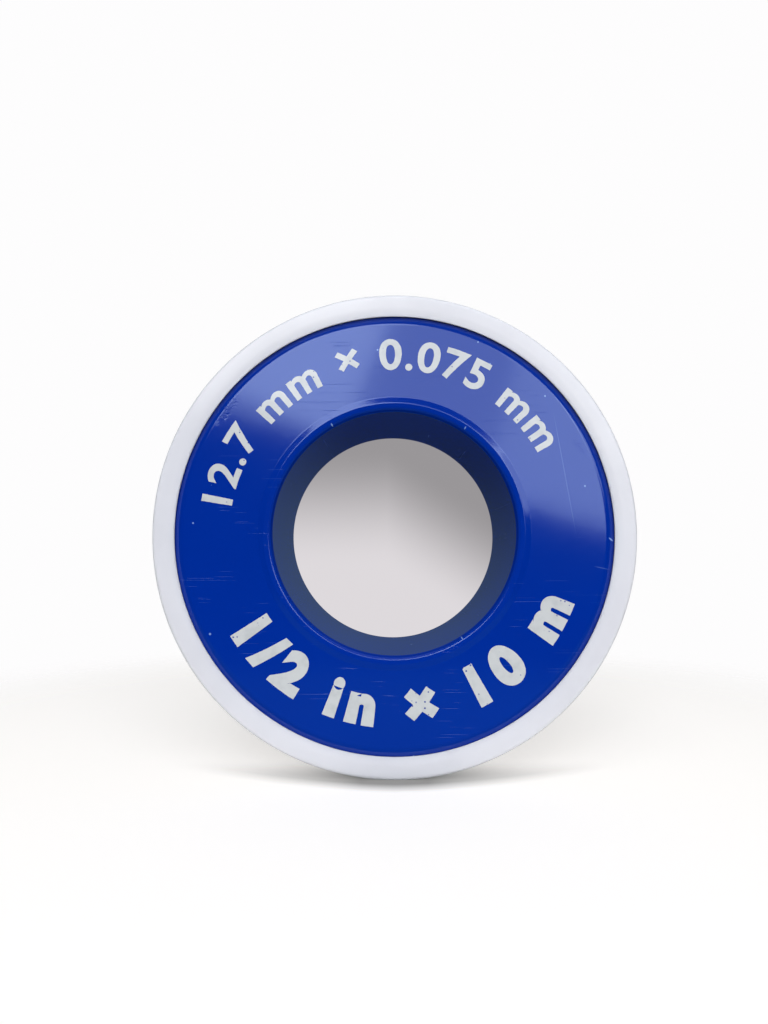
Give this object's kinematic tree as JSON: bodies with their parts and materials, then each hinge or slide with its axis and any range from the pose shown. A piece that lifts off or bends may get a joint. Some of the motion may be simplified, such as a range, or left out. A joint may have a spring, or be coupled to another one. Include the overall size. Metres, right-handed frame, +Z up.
{
  "type": "thread seal tape roll",
  "caption": "Roll of thread seal tape: a tape-wound reel with a wide bore and a lipped front flange, snapped into a round cup cover that it turns in and pulls out of.",
  "frame": {"origin": "on the roll's axis, at the middle of its width", "axes": "+Y along the roll's axis, from the front flange towards the cover's back; +Z up, with the roll standing on its rim"},
  "size_m": [0.0496, 0.017, 0.0495],
  "materials": {
    "white_plastic": "semi-gloss moulded plastic, faintly cool white",
    "blue_plastic": "glossy moulded plastic, deep blue",
    "seal_tape": "matte stretched film tape, white"
  },
  "bodies": {
    "cover": {"cover": "white_plastic"},
    "loose_end": {"tape_end": "seal_tape"},
    "reel": {"spool": "blue_plastic", "tape_pack": "seal_tape"}
  },
  "joints": [
    {"name": "spool_pull", "type": "slide", "parent": "cover", "child": "loose_end", "axis": [0, -1, 0], "range_m": [0, 0.02]},
    {"name": "spool_spin", "type": "hinge", "parent": "loose_end", "child": "reel", "pos_m": [0, 0, 0], "axis": [0, 1, 0], "continuous": true}
  ]
}
